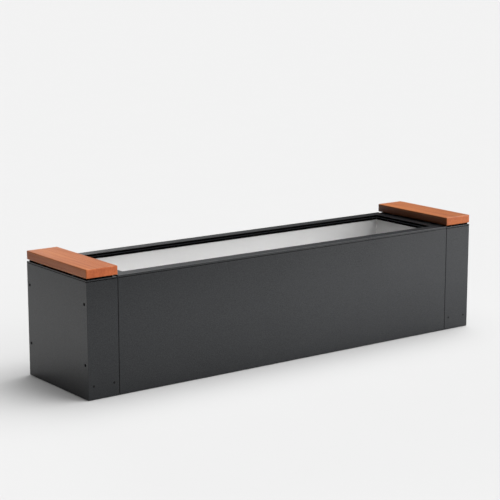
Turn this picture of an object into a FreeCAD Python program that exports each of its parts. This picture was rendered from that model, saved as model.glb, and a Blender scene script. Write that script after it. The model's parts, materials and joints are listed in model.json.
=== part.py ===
import FreeCAD, Part
import math
import os

# Planter module of a bench line: a long sheet-steel planter box with a lift-out
# liner, and a wooden board lying across each end as a short seat.
# Millimetres. +Z up, +X along the length, the front face looks along -Y.
# Origin: on the floor, under the middle of the module.

# ---------------------------------------------------------------- dimensions
LENGTH = 1750.0          # over the two link faces
DEPTH = 405.0            # front face to rear face
SEAT_H = 450.0           # top of the boards

BOARD_W = 122.0          # board, measured along the module
BOARD_T = 31.0
BOARD_R = 2.0            # eased long edges
SPACER_T = 6.0           # gap between board and cap

T = 2.0                  # outer sheet steel
STEEL_TOP = 416.0        # top face of the rim frame
LIP_BOT = 409.0          # lower edge of the rim's lip
SKIN_TOP = 407.0         # upper edge of the panels
CAP_TOP = 413.0          # the leg caps are flat plates, a little lower than the rim
CAP_T = 4.0
CLAD_TOP = 406.5         # upper edge of the claddings: a 2.5 mm open joint under the caps
SKIN_BOT = 1.5           # clearance under panels and claddings
SEAM = 2.0               # open joint between leg and planter body
BEND_OUT = 0.8           # outside radius of the sheet's bends: grooved on the inside, then folded
BEND_IN = 0.0

RIM_W = 45.0             # width of the rim's top face
RIM_FLANGE_Z = 405.0     # underside of the rim's inner return flange
LEDGE_Z = 408.6          # top of the liner's trim frame
LEDGE_BOT = 400.0        # lower edge of the trim frame's inner fold
LEDGE_W = 9.3
TRIM_T = 1.8
RIM_GAP = 1.2            # between rim and trim frame

LINER_T = 1.5
LINER_BOT = 71.0         # underside of the liner's floor
LINER_FLANGE_Z = 405.3   # underside of the liner's flange

TUBE = 30.0              # square tube of the leg frames
TUBE_T = 2.0
RAIL_W = 40.0            # side rails
RAIL_Z0, RAIL_Z1 = 3.5, 43.5
ANGLE_T = 3.0
ANGLE_TOP = 405.0

FOOT_X, FOOT_Y = 815.0, 150.0
FOOT_PAD_R = 24.0
STEM_R = 5.95            # M12 stem, drawn plain
STEM_BORE_R = 6.0
FOOT_TRAVEL = 20.0
ANCHOR_Y = 60.0
ANCHOR_R = 6.0

LINK_Y, LINK_Z0, LINK_Z1, LINK_R = 185.0, 120.0, 330.0, 5.5
DOT_Z = 48.0             # cladding screws, above the floor
DOT_INSET = 21.0

HX, HY = LENGTH / 2, DEPTH / 2
BODY_X = HX - BOARD_W - 1.0             # end of the planter body (752)
LEG_IN = BODY_X + SEAM                  # inner face of a leg (754)

V = FreeCAD.Vector
os.makedirs("parts", exist_ok=True)


# ---------------------------------------------------------------- helpers
def box(x0, x1, y0, y1, z0, z1):
    return Part.makeBox(x1 - x0, y1 - y0, z1 - z0, V(x0, y0, z0))


def cyl(p0, p1, r):
    d = V(*p1) - V(*p0)
    return Part.makeCylinder(r, d.Length, V(*p0), d)


def cone(p0, p1, r0, r1):
    d = V(*p1) - V(*p0)
    return Part.makeCone(r0, r1, d.Length, V(*p0), d)


def outline(points, radii, put):
    """Closed wire through 2-D points, each corner rounded by its radius."""
    n = len(points)
    trimmed = []
    for i in range(n):
        p = points[i]
        a, b = points[i - 1], points[(i + 1) % n]
        r = radii[i] if isinstance(radii, (list, tuple)) else radii
        if r <= 0:
            trimmed.append((p, None, p))
            continue
        ua = ((a[0] - p[0]), (a[1] - p[1]))
        ub = ((b[0] - p[0]), (b[1] - p[1]))
        la, lb = math.hypot(*ua), math.hypot(*ub)
        ua = (ua[0] / la, ua[1] / la)
        ub = (ub[0] / lb, ub[1] / lb)
        half = math.acos(max(-1, min(1, ua[0] * ub[0] + ua[1] * ub[1]))) / 2
        d = r / math.tan(half)
        s = (p[0] + ua[0] * d, p[1] + ua[1] * d)
        e = (p[0] + ub[0] * d, p[1] + ub[1] * d)
        bis = (ua[0] + ub[0], ua[1] + ub[1])
        lbis = math.hypot(*bis)
        c = (p[0] + bis[0] / lbis * r / math.sin(half), p[1] + bis[1] / lbis * r / math.sin(half))
        m = (c[0] - bis[0] / lbis * r, c[1] - bis[1] / lbis * r)
        trimmed.append((s, m, e))
    edges = []
    for i in range(n):
        s, m, e = trimmed[i]
        if m is not None:
            edges.append(Part.Arc(V(*put(*s)), V(*put(*m)), V(*put(*e))).toShape())
        nxt = trimmed[(i + 1) % n][0]
        if math.hypot(nxt[0] - e[0], nxt[1] - e[1]) > 1e-6:
            edges.append(Part.LineSegment(V(*put(*e)), V(*put(*nxt))).toShape())
    return Part.Wire(edges)


def solid(wires, run):
    face = Part.Face(wires)
    s = face.extrude(V(*run))
    if s.Volume < 0:
        s = s.reversed()
    return s


def sheet_outline(path, t, side):
    """Corner points and radii of a folded strip: path is one surface of the sheet,
    side +1 puts the metal on the path's left, -1 on its right."""
    n = len(path)
    off = []
    for i in range(n):
        def normal(a, b):
            d = (b[0] - a[0], b[1] - a[1])
            l = math.hypot(*d)
            return (-d[1] / l * side * t, d[0] / l * side * t)
        if i == 0:
            m = normal(path[0], path[1])
        elif i == n - 1:
            m = normal(path[-2], path[-1])
        else:
            a, b = normal(path[i - 1], path[i]), normal(path[i], path[i + 1])
            m = (a[0] + b[0], a[1] + b[1])       # square bends only
        off.append((path[i][0] + m[0], path[i][1] + m[1]))
    pts, radii = [], []
    for i in range(n):
        pts.append(path[i])
        if 0 < i < n - 1:
            a, p, b = path[i - 1], path[i], path[i + 1]
            cross = (p[0] - a[0]) * (b[1] - p[1]) - (p[1] - a[1]) * (b[0] - p[0])
            radii.append(BEND_OUT if cross * side > 0 else BEND_IN)
        else:
            radii.append(0)
    for i in range(n - 1, -1, -1):
        pts.append(off[i])
        if 0 < i < n - 1:
            a, p, b = path[i - 1], path[i], path[i + 1]
            cross = (p[0] - a[0]) * (b[1] - p[1]) - (p[1] - a[1]) * (b[0] - p[0])
            radii.append(BEND_IN if cross * side > 0 else BEND_OUT)
        else:
            radii.append(0)
    return pts, radii


def folded(path, t, side, put, run):
    pts, radii = sheet_outline(path, t, side)
    return solid([outline(pts, radii, put)], run)


def tube(axis, a, b, u0, u1, v0, v1, t=TUBE_T, ro=3.0, ri=1.0):
    """Rectangular tube along an axis, from a to b; u, v are the other two axes in order."""
    put = {"x": lambda u, v: (a, u, v), "y": lambda u, v: (u, a, v), "z": lambda u, v: (u, v, a)}[axis]
    run = {"x": (b - a, 0, 0), "y": (0, b - a, 0), "z": (0, 0, b - a)}[axis]
    o = [(u0, v0), (u1, v0), (u1, v1), (u0, v1)]
    i = [(u0 + t, v0 + t), (u1 - t, v0 + t), (u1 - t, v1 - t), (u0 + t, v1 - t)]
    return solid([outline(o, ro, put)], run).cut(solid([outline(i, ri, put)], run))


def mitred(profile, half_x, half_y, depth):
    """A closed rectangular frame of four folded strips, welded at its mitres.
    profile(put, run) makes the strip in (n, z), where n is the distance inwards from
    the frame's outer edge; depth is a safe inward reach. Returns the four strips."""
    sides = []
    big = half_x + 50
    out = 5.0
    # front and rear strips, then left and right ones
    for sy in (-1, 1):
        strip = profile(lambda n, z, sy=sy: (-big, sy * (half_y - n), z), (2 * big, 0, 0))
        corner = [(-half_x - out, sy * (half_y + out)), (half_x + out, sy * (half_y + out)),
                  (half_x - depth, sy * (half_y - depth)), (-half_x + depth, sy * (half_y - depth))]
        wedge = solid([outline(corner, 0, lambda u, v: (u, v, 300.0))], (0, 0, 200))
        sides.append(strip.common(wedge))
    for sx in (-1, 1):
        strip = profile(lambda n, z, sx=sx: (sx * (half_x - n), -big, z), (0, 2 * big, 0))
        corner = [(sx * (half_x + out), -half_y - out), (sx * (half_x + out), half_y + out),
                  (sx * (half_x - depth), half_y - depth), (sx * (half_x - depth), -half_y + depth)]
        wedge = solid([outline(corner, 0, lambda u, v: (u, v, 300.0))], (0, 0, 200))
        sides.append(strip.common(wedge))
    return sides


def mirror_x(s):
    return s.mirror(V(0, 0, 0), V(1, 0, 0))


def mirror_y(s):
    return s.mirror(V(0, 0, 0), V(0, 1, 0))


def group(shapes):
    """Separate solids that share one node."""
    solids = []
    for s in shapes:
        solids += s.Solids
    return Part.makeCompound(solids) if len(solids) > 1 else solids[0]


def hexagon(p0, p1, across):
    """Hexagon prism along an axis."""
    d = V(*p1) - V(*p0)
    r = across / math.sqrt(3)
    n = d.normalize() if d.Length else V(0, 0, 1)
    d = V(*p1) - V(*p0)
    u = V(1, 0, 0) if abs(n.x) < 0.9 else V(0, 1, 0)
    u = (u - n * u.dot(n)).normalize()
    w = n.cross(u)
    pts = [V(*p0) + u * (r * math.cos(k * math.pi / 3)) + w * (r * math.sin(k * math.pi / 3)) for k in range(6)]
    face = Part.Face(Part.makePolygon(pts + [pts[0]]))
    s = face.extrude(d)
    return s if s.Volume > 0 else s.reversed()


NODES = {}


def add(name, shape):
    NODES[name] = shape


# ---------------------------------------------------------------- right leg, then mirrored
LX0, LX1 = 757.0, HX - T                 # tube frame inside the cladding
LY = HY - T - 1.5                        # 199
RING0, RING1 = (30.0, 60.0), (CAP_TOP - CAP_T - TUBE, CAP_TOP - CAP_T)
POST_X = ((LX0, LX0 + TUBE), (LX1 - TUBE, LX1))
BOARD_BOLT_X = (LX0 + TUBE / 2, LX1 - TUBE / 2)
BOARD_BOLT_Y = 110.0
DOT_X = (HX - DOT_INSET, HX - BOARD_W + DOT_INSET)


def both_y(make):
    return [make(-1), make(1)]


def leg_frame():
    parts = []
    for z0, z1 in (RING0, RING1):
        for x0, x1 in POST_X:
            parts.append(tube("y", -LY, LY, x0, x1, z0, z1))
        for sy in (-1, 1):
            y0, y1 = sorted((sy * (LY - TUBE), sy * LY))
            parts.append(tube("x", POST_X[0][1], POST_X[1][0], y0, y1, z0, z1))
    for x0, x1 in POST_X:
        for sy in (-1, 1):
            y0, y1 = sorted((sy * (LY - TUBE), sy * LY))
            parts.append(tube("z", RING0[1], RING1[0], x0, x1, y0, y1))
    cuts = []
    # link holes through the outer posts
    for y in (-LINK_Y, LINK_Y):
        for z in (LINK_Z0, LINK_Z1):
            cuts.append(cyl((LX1 - TUBE - 2, y, z), (LX1 + 2, y, z), LINK_R))
    # rivet-nut holes for the cladding screws, through the outer wall of the bottom ring
    for x in DOT_X:
        for sy in (-1, 1):
            cuts.append(cyl((x, sy * (LY - 6), DOT_Z), (x, sy * (LY + 1), DOT_Z), 3.5))
    # board bolts through the top ring
    for x in BOARD_BOLT_X:
        for y in (-BOARD_BOLT_Y, BOARD_BOLT_Y):
            cuts.append(cyl((x, y, RING1[0] - 1), (x, y, RING1[1] + 1), 4.5))
    # frame bolts through the inner ring tubes
    for y, z in FRAME_BOLTS:
        cuts.append(cyl((LX0 - 1, y, z), (LX0 + TUBE + 1, y, z), 4.5))
    done = []
    for p in parts:
        for c in cuts:
            if p.BoundBox.intersect(c.BoundBox):
                p = p.cut(c)
        done.append(p)
    return group(done)


FRAME_BOLT_YS = (145.0, 161.0)
FRAME_BOLTS = [(sy * y, z) for sy in (-1, 1) for y in FRAME_BOLT_YS for z in (54.0, 392.0)]
END_T = 5.0                              # end plates of rails and angles

base_plate = box(LX0 + TUBE, LX1 - TUBE, -LY + TUBE, LY - TUBE, 30.0, 36.0)
for sy in (-1, 1):
    base_plate = base_plate.cut(cyl((FOOT_X, sy * FOOT_Y, 29), (FOOT_X, sy * FOOT_Y, 37), STEM_BORE_R + 0.5))
    base_plate = base_plate.cut(cyl((FOOT_X, sy * ANCHOR_Y, 29), (FOOT_X, sy * ANCHOR_Y, 37), ANCHOR_R))

weld_nuts = []
for sy in (-1, 1):
    nut = hexagon((FOOT_X, sy * FOOT_Y, 36.0), (FOOT_X, sy * FOOT_Y, 48.0), 19.0)
    weld_nuts.append(nut.cut(cyl((FOOT_X, sy * FOOT_Y, 35), (FOOT_X, sy * FOOT_Y, 49), STEM_BORE_R)))

lock_nuts = []
for sy in (-1, 1):
    nut = hexagon((FOOT_X, sy * FOOT_Y, 24.0), (FOOT_X, sy * FOOT_Y, 30.0), 19.0)
    lock_nuts.append(nut.cut(cyl((FOOT_X, sy * FOOT_Y, 23), (FOOT_X, sy * FOOT_Y, 31), STEM_BORE_R)))


def foot(sx, sy):
    x, y = sx * FOOT_X, sy * FOOT_Y
    prof = [(0, 0), (FOOT_PAD_R - 2, 0), (FOOT_PAD_R, 2), (FOOT_PAD_R, 4.5), (FOOT_PAD_R - 4, 8), (12, 10), (10.5, 16), (0, 16)]
    pts = [V(x + r, y, z) for r, z in prof]
    pad = Part.Face(Part.makePolygon(pts + [pts[0]])).revolve(V(x, y, 0), V(0, 0, 1), 360)
    pad = Part.Solid(pad.Shells[0]) if pad.ShapeType != "Solid" else pad
    if pad.Volume < 0:
        pad = pad.reversed()
    pad = pad.cut(cyl((x, y, 4), (x, y, 17), STEM_R))
    stem = cyl((x, y, 4.0), (x, y, 73.0), STEM_R)
    stem = stem.fuse(cone((x, y, 73.0), (x, y, 74.5), STEM_R, STEM_R - 1.5)).removeSplitter()
    # hexagon on the stem above the pad, for the spanner
    stem = stem.fuse(hexagon((x, y, 16.0), (x, y, 21.0), 14.0)).removeSplitter()
    return pad, stem


def cladding():
    """Front strip, link face and rear strip in one folded sheet, with a short return at each inner edge."""
    put = lambda u, v: (u, v, SKIN_BOT)
    path = [(LEG_IN, -HY + 16), (LEG_IN, -HY), (HX, -HY), (HX, HY), (LEG_IN, HY), (LEG_IN, HY - 16)]
    s = folded(path, T, 1, put, (0, 0, CLAD_TOP - SKIN_BOT))
    for y in (-LINK_Y, LINK_Y):
        for z in (LINK_Z0, LINK_Z1):
            s = s.cut(cyl((HX - 5, y, z), (HX + 5, y, z), LINK_R))
    for x in DOT_X:
        for sy in (-1, 1):
            s = s.cut(cyl((x, sy * (HY - 5), DOT_Z), (x, sy * (HY + 5), DOT_Z), 2.6))
            s = s.cut(cone((x, sy * (HY - 1.5), DOT_Z), (x, sy * HY, DOT_Z), 2.6, 4.1))
    return s


# flat plate over the leg, its edges broken
cap = solid([outline([(LEG_IN, -HY), (HX, -HY), (HX, HY), (LEG_IN, HY)], 1.0, lambda u, v: (u, v, CAP_TOP - CAP_T))], (0, 0, CAP_T))
cap = cap.makeFillet(0.5, [e for e in cap.Edges if abs(e.BoundBox.ZMin - CAP_TOP) < 1e-6 and abs(e.BoundBox.ZMax - CAP_TOP) < 1e-6])
for x in BOARD_BOLT_X:
    for y in (-BOARD_BOLT_Y, BOARD_BOLT_Y):
        cap = cap.cut(cyl((x, y, CAP_TOP - 8), (x, y, CAP_TOP + 5), 4.5))

spacers, inserts, bolts = [], [], []
SP_Z = CAP_TOP + SPACER_T
for x in BOARD_BOLT_X:
    for y in (-BOARD_BOLT_Y, BOARD_BOLT_Y):
        spacers.append(cyl((x, y, CAP_TOP), (x, y, SP_Z), 14.0).cut(cyl((x, y, CAP_TOP - 1), (x, y, SP_Z + 1), 4.5)))
        inserts.append(cyl((x, y, SP_Z + 0.5), (x, y, SP_Z + 18.5), 7.0).cut(cyl((x, y, SP_Z), (x, y, SP_Z + 18.6), 4.0)))
        head = hexagon((x, y, RING1[0] - 7.0), (x, y, RING1[0] - 1.6), 13.0)
        washer = cyl((x, y, RING1[0] - 1.6), (x, y, RING1[0]), 8.0)
        shank = cyl((x, y, RING1[0] - 2.0), (x, y, SP_Z + 16.0), 3.95)
        bolts.append(head.fuse(washer).fuse(shank).removeSplitter())


def board():
    # the long edges run across the module; ends and edges are eased
    b = box(HX - BOARD_W, HX, -HY, HY, SP_Z, SEAT_H)
    ease = [e for e in b.Edges if e.Length > 100 or abs(e.BoundBox.ZLength) > 10]
    b = b.makeFillet(BOARD_R, ease)
    for x in BOARD_BOLT_X:
        for y in (-BOARD_BOLT_Y, BOARD_BOLT_Y):
            b = b.cut(cyl((x, y, SP_Z - 1), (x, y, SP_Z + 19.0), 7.0))
    return b


cladding_screws, cladding_nuts = [], []
for x in DOT_X:
    for sy in (-1, 1):
        y = lambda d, sy=sy: sy * (HY - d)
        s = cone((x, y(1.5), DOT_Z), (x, y(0.05), DOT_Z), 2.6, 4.05)
        s = s.fuse(cyl((x, y(14), DOT_Z), (x, y(1.5), DOT_Z), 2.4)).removeSplitter()
        s = s.cut(hexagon((x, y(1.3), DOT_Z), (x, y(-0.5), DOT_Z), 2.5))
        cladding_screws.append(s)
        n = cyl((x, y(13), DOT_Z), (x, y(3.5), DOT_Z), 3.45)
        n = n.fuse(cyl((x, y(3.5), DOT_Z), (x, y(2.0), DOT_Z), 4.6)).cut(cyl((x, y(14), DOT_Z), (x, y(1.0), DOT_Z), 2.45))
        cladding_nuts.append(n.removeSplitter())

right = {
    "leg_frame": leg_frame(),
    "leg_base_plate": base_plate,
    "leg_cladding": cladding(),
    "leg_cap": cap,
    "seat_board": board(),
}
for name, s in right.items():
    add(name + "_right", s)
    add(name + "_left", mirror_x(s))
for name, shapes in (("foot_weld_nuts", weld_nuts), ("foot_lock_nuts", lock_nuts), ("board_spacers", spacers),
                     ("board_inserts", inserts), ("board_bolts", bolts), ("cladding_screws", cladding_screws),
                     ("cladding_rivet_nuts", cladding_nuts)):
    add(name, group(shapes + [mirror_x(s) for s in shapes]))
for sx, side in ((-1, "left"), (1, "right")):
    for sy, face in ((-1, "front"), (1, "rear")):
        pad, stem = foot(sx, sy)
        add("foot_pad_%s_%s" % (face, side), pad)
        add("foot_stem_%s_%s" % (face, side), stem)

# ---------------------------------------------------------------- planter body
RAIL_Y0, RAIL_Y1 = 146.0, 186.0
POST_XS = (-250.0, 250.0)                # mid posts
BEARER_XS = (-540.0, -180.0, 180.0, 540.0)
PANEL_SCREW_XS = (-640.0, -320.0, 0.0, 320.0, 640.0)
RIM_SCREW_XS = (-600.0, -200.0, 200.0, 600.0)
ANG_IN_Y = 151.6                         # inner edge of the top angles
ANG_IN_X = 701.1


def side_rail():
    """Rear one; rectangular tube with a bolted plate welded on each end."""
    r = tube("x", -BODY_X, BODY_X, RAIL_Y0, RAIL_Y1, RAIL_Z0, RAIL_Z1)
    for sx in (-1, 1):
        x0, x1 = sorted((sx * BODY_X, sx * (BODY_X + END_T)))
        p = box(x0, x1, 134.0, RAIL_Y1, RAIL_Z0, 62.0)
        for y in FRAME_BOLT_YS:
            p = p.cut(cyl((x0 - 1, y, 54.0), (x1 + 1, y, 54.0), 4.5))
        r = r.fuse(p)
    for x in PANEL_SCREW_XS:
        r = r.cut(cyl((x, 168.0, RAIL_Z0 - 1), (x, 168.0, RAIL_Z0 + 4), 2.6))
    for x in BEARER_XS:
        r = r.cut(cyl((x, 166.0, RAIL_Z1 - 4), (x, 166.0, RAIL_Z1 + 1), 3.1))
    return r.removeSplitter()


def long_angle():
    """Rear one; the flat leg carries the rim, the panel and the liner's flange."""
    put = lambda u, v: (-BODY_X, u, v)
    path = [(ANG_IN_Y, ANGLE_TOP), (RAIL_Y1, ANGLE_TOP), (RAIL_Y1, 370.0)]
    pts, radii = sheet_outline(path, ANGLE_T, -1)
    a = solid([outline(pts, [min(r, 2.0) for r in radii], put)], (2 * BODY_X, 0, 0))
    for sx in (-1, 1):
        x0, x1 = sorted((sx * BODY_X, sx * (BODY_X + END_T)))
        p = box(x0, x1, 134.0, RAIL_Y1, 366.0, ANGLE_TOP)
        for y in FRAME_BOLT_YS:
            p = p.cut(cyl((x0 - 1, y, 392.0), (x1 + 1, y, 392.0), 4.5))
        a = a.fuse(p)
    for x in RIM_SCREW_XS:
        a = a.cut(cyl((x, 165.0, 395), (x, 165.0, 410), 2.6))
    return a.removeSplitter()


def end_angle():
    """Right one, welded between the two long angles."""
    put = lambda u, v: (u, -ANG_IN_Y, v)
    path = [(ANG_IN_X, ANGLE_TOP), (BODY_X - 10, ANGLE_TOP), (BODY_X - 10, 370.0)]
    pts, radii = sheet_outline(path, ANGLE_T, -1)
    a = solid([outline(pts, [min(r, 2.0) for r in radii], put)], (0, 2 * ANG_IN_Y, 0))
    for y in (-90.0, 90.0):
        a = a.cut(cyl((716.0, y, 395), (716.0, y, 410), 2.6))
    return a.removeSplitter()


def panel():
    """Rear one: a folded tray, with returns at its top, foot and both ends."""
    # the skin and its end returns
    put = lambda u, v: (u, v, SKIN_BOT)
    skin = folded([(-BODY_X, HY - 14), (-BODY_X, HY), (BODY_X, HY), (BODY_X, HY - 14)], T, -1, put, (0, 0, SKIN_TOP - SKIN_BOT))
    # the top and foot returns, inside the end returns
    e = BODY_X - T - 0.5
    put = lambda u, v: (-e, u, v)
    c = folded([(178.5, SKIN_TOP), (HY, SKIN_TOP), (HY, SKIN_BOT), (152.0, SKIN_BOT)], T, -1, put, (2 * e, 0, 0))
    # where the returns fold away, the skin has the same bend as the strip
    edge = solid([outline([(HY - 14.5, SKIN_BOT - 1), (HY + 1, SKIN_BOT - 1), (HY + 1, SKIN_TOP + 1), (HY - 14.5, SKIN_TOP + 1)], 0,
                          lambda u, v: (-e, u, v))], (2 * e, 0, 0))
    middle = skin.common(edge)
    ends = skin.cut(edge)
    middle_round = middle.common(solid([outline([(HY - 60, SKIN_BOT), (HY, SKIN_BOT), (HY, SKIN_TOP), (HY - 60, SKIN_TOP)], [0, BEND_OUT, BEND_OUT, 0],
                                                lambda u, v: (-e, u, v))], (2 * e, 0, 0)))
    s = ends.fuse(middle_round).fuse(c).removeSplitter()
    for x in PANEL_SCREW_XS:
        s = s.cut(cyl((x, 168.0, 0), (x, 168.0, 8), 2.6))
        s = s.cut(cone((x, 168.0, SKIN_BOT), (x, 168.0, SKIN_BOT + 1.5), 4.1, 2.6))
    return s


def rim():
    """Outer lip, top face, inner fold and a return flange that lies on the angles."""
    path = [(0, LIP_BOT), (0, STEEL_TOP), (RIM_W, STEEL_TOP), (RIM_W, RIM_FLANGE_Z), (RIM_W - 15.0, RIM_FLANGE_Z)]
    pts, radii = sheet_outline(path, T, -1)
    radii = [r if r == BEND_OUT else 0 for r in radii]
    strips = mitred(lambda put, run: solid([outline(pts, radii, put)], run), BODY_X, HY, 60.0)
    holes = [cyl((x, sy * 165.0, 400), (x, sy * 165.0, 410), 3.6) for x in RIM_SCREW_XS for sy in (-1, 1)]
    holes += [cyl((sx * 716.0, y, 400), (sx * 716.0, y, 410), 3.6) for sx in (-1, 1) for y in (-90.0, 90.0)]
    done = []
    for strip in strips:
        for hole in holes:
            if strip.BoundBox.intersect(hole.BoundBox):
                strip = strip.cut(hole)
        done.append(strip)
    return group(done)


TRIM_X, TRIM_Y = BODY_X - RIM_W - RIM_GAP, HY - RIM_W - RIM_GAP       # 705.8, 156.3


def trim():
    """The lower step inside the rim: a ledge and a short inner fold over the liner's edge."""
    path = [(0, LEDGE_Z), (LEDGE_W, LEDGE_Z), (LEDGE_W, LEDGE_BOT)]
    pts, radii = sheet_outline(path, TRIM_T, -1)
    radii = [r if r == BEND_OUT else 0 for r in radii]
    return group(mitred(lambda put, run: solid([outline(pts, radii, put)], run), TRIM_X, TRIM_Y, 30.0))


LIN_X, LIN_Y = TRIM_X - LEDGE_W + TRIM_T + 0.3, TRIM_Y - LEDGE_W + TRIM_T + 0.3      # inside faces 698.6, 149.1
DRAIN_XS = (-350.0, 350.0)
LUG_YS = (-95.0, 95.0)


def liner_floor():
    """Floor sheet under the four walls, with the two drain holes."""
    f = box(-LIN_X - LINER_T, LIN_X + LINER_T, -LIN_Y - LINER_T, LIN_Y + LINER_T, LINER_BOT, LINER_BOT + LINER_T)
    f = f.makeFillet(1.4, [e for e in f.Edges if abs(e.BoundBox.ZLength) > 1])
    for x in DRAIN_XS:
        f = f.cut(cyl((x, 0, LINER_BOT - 1), (x, 0, LINER_BOT + 3), 17.0))
    return f


def liner_wall(inside, reach):
    """Cross-section of a wall with its flange folded outwards, as (distance, z) pairs with radii."""
    z0, z1 = LINER_BOT + LINER_T, LINER_FLANGE_Z + LINER_T
    pts = [(inside, z0), (inside + LINER_T, z0), (inside + LINER_T, LINER_FLANGE_Z), (reach, LINER_FLANGE_Z), (reach, z1), (inside, z1)]
    return pts, [0, 0, 0.5, 0, 0, 2.0]


def liner_long_wall():
    """Rear one: the wall stops at the end walls' outer faces, the flange runs on to the corners."""
    pts, radii = liner_wall(LIN_Y, TRIM_Y - 0.3)
    fx = TRIM_X - 0.3
    w = solid([outline(pts, radii, lambda u, v: (-fx, u, v))], (2 * fx, 0, 0))
    ends = LIN_X + LINER_T
    for x0, x1 in ((-fx - 1, -ends), (ends, fx + 1)):
        w = w.cut(box(x0, x1, LIN_Y - 1, TRIM_Y + 1, LINER_BOT, LINER_FLANGE_Z))
    return w


def liner_end_wall():
    """Right one, between the two long walls."""
    pts, radii = liner_wall(LIN_X, TRIM_X - 0.3)
    return solid([outline(pts, radii, lambda u, v: (u, -LIN_Y, v))], (0, 2 * LIN_Y, 0))


def drain_spigot(x):
    """A short flanged outlet through the liner's floor."""
    z = LINER_BOT
    s = cyl((x, 0, z - 22), (x, 0, z + LINER_T), 17.0)
    s = s.fuse(cyl((x, 0, z - 3.0), (x, 0, z), 24.0))
    return s.cut(cyl((x, 0, z - 23), (x, 0, z + 3), 14.5)).removeSplitter()


def strainer(x):
    """A low perforated cap over a drain."""
    z = LINER_BOT + LINER_T
    s = cyl((x, 0, z), (x, 0, z + 4.0), 34.0)
    s = s.cut(cyl((x, 0, z - 1), (x, 0, z + 2.5), 31.0))
    ring = s
    for count, rad in ((1, 0), (6, 9.0), (12, 18.0), (16, 26.0)):
        for k in range(count):
            a = 2 * math.pi * k / count
            px, py = x + rad * math.cos(a), rad * math.sin(a)
            ring = ring.cut(cyl((px, py, z), (px, py, z + 5), 2.6))
    return ring


def lug(sx, y):
    """A flat lifting lug standing out of the liner's end wall."""
    x_wall = LIN_X
    pts = [(x_wall, 240.0), (x_wall - 30.0, 262.0), (x_wall - 30.0, 288.0), (x_wall, 300.0)]
    s = solid([outline(pts, [0, 8, 8, 0], lambda u, v: (u, y - 2.0, v))], (0, 4.0, 0))
    s = s.cut(cyl((x_wall - 16.0, y - 5, 274.0), (x_wall - 16.0, y + 5, 274.0), 8.0))
    return s if sx > 0 else mirror_x(s)


def bearer(x):
    """A channel across the side rails, open side down."""
    put = lambda u, v: (u, -RAIL_Y1, v)
    s = folded([(x - 20, RAIL_Z1), (x - 20, RAIL_Z1 + 20), (x + 20, RAIL_Z1 + 20), (x + 20, RAIL_Z1)], T, -1, put, (0, 2 * RAIL_Y1, 0))
    for sy in (-1, 1):
        s = s.cut(cyl((x, sy * 166.0, RAIL_Z1 + 15), (x, sy * 166.0, RAIL_Z1 + 22), 3.1))
    return s


rear = {"side_rail": side_rail(), "top_angle": long_angle(), "panel": panel()}
add("side_rail_rear", rear["side_rail"])
add("side_rail_front", mirror_y(rear["side_rail"]))
add("top_angle_rear", rear["top_angle"])
add("top_angle_front", mirror_y(rear["top_angle"]))
add("rear_panel", rear["panel"])
add("front_panel", mirror_y(rear["panel"]))
add("top_angle_right", end_angle())
add("top_angle_left", mirror_x(end_angle()))
add("rim_frame", rim())
add("liner_trim_frame", trim())
add("liner_floor", liner_floor())
add("liner_wall_rear", liner_long_wall())
add("liner_wall_front", mirror_y(liner_long_wall()))
add("liner_wall_right", liner_end_wall())
add("liner_wall_left", mirror_x(liner_end_wall()))
add("drain_spigots", group([drain_spigot(x) for x in DRAIN_XS]))
add("drain_strainers", group([strainer(x) for x in DRAIN_XS]))
add("lifting_lugs", group([lug(sx, y) for sx in (-1, 1) for y in LUG_YS]))
add("cross_bearers", group([bearer(x) for x in BEARER_XS]))
add("mid_posts", group([tube("z", RAIL_Z1, ANGLE_TOP - ANGLE_T, x - 10, x + 10, *sorted((sy * 161.0, sy * 181.0)), ro=2.0, ri=0.5)
                        for x in POST_XS for sy in (-1, 1)]))
add("liner_pads", group([box(x - 15, x + 15, -120, 120, RAIL_Z1 + 20, LINER_BOT) for x in BEARER_XS]))

# ---------------------------------------------------------------- hidden fasteners
screws, nuts = [], []
for sx in (-1, 1):
    for y, z in FRAME_BOLTS:
        xh = sx * BODY_X                          # head side: inside the end plate
        xt = sx * (LX0 + TUBE)                    # nut side: inside the leg
        head = hexagon((xh - sx * 5.3, y, z), (xh, y, z), 13.0)
        shank = cyl((xh - sx * 1, y, z), (xt + sx * 9.5, y, z), 3.95)
        screws.append(head.fuse(shank).removeSplitter())
        nut = hexagon((xt, y, z), (xt + sx * 6.5, y, z), 13.0).cut(cyl((xt - sx, y, z), (xt + sx * 8, y, z), 4.0))
        nuts.append(nut)
add("frame_bolts", group(screws))
add("frame_nuts", group(nuts))


def pan_screw(x, y, z_seat, up, length, r, head_r, head_h):
    """Head on z_seat, shank pointing up (+1) or down (-1)."""
    s = cyl((x, y, z_seat), (x, y, z_seat - up * head_h), head_r)
    s = s.fuse(cyl((x, y, z_seat - up * 0.5), (x, y, z_seat + up * length), r)).removeSplitter()
    return s.cut(hexagon((x, y, z_seat - up * head_h), (x, y, z_seat - up * (head_h - 1.4)), 3.0))


rim_screws, rim_nuts = [], []
spots = [(x, sy * 165.0) for x in RIM_SCREW_XS for sy in (-1, 1)] + [(sx * 716.0, y) for sx in (-1, 1) for y in (-90.0, 90.0)]
for x, y in spots:
    rim_screws.append(pan_screw(x, y, ANGLE_TOP - ANGLE_T, 1, 8.0, 2.4, 4.7, 2.6))
    n = cyl((x, y, RIM_FLANGE_Z), (x, y, RIM_FLANGE_Z + T), 3.55).fuse(cyl((x, y, RIM_FLANGE_Z + T), (x, y, RIM_FLANGE_Z + T + 3.0), 4.2))
    rim_nuts.append(n.cut(cyl((x, y, 400), (x, y, 415), 2.45)).removeSplitter())
add("rim_screws", group(rim_screws))
add("rim_nuts", group(rim_nuts))


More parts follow.
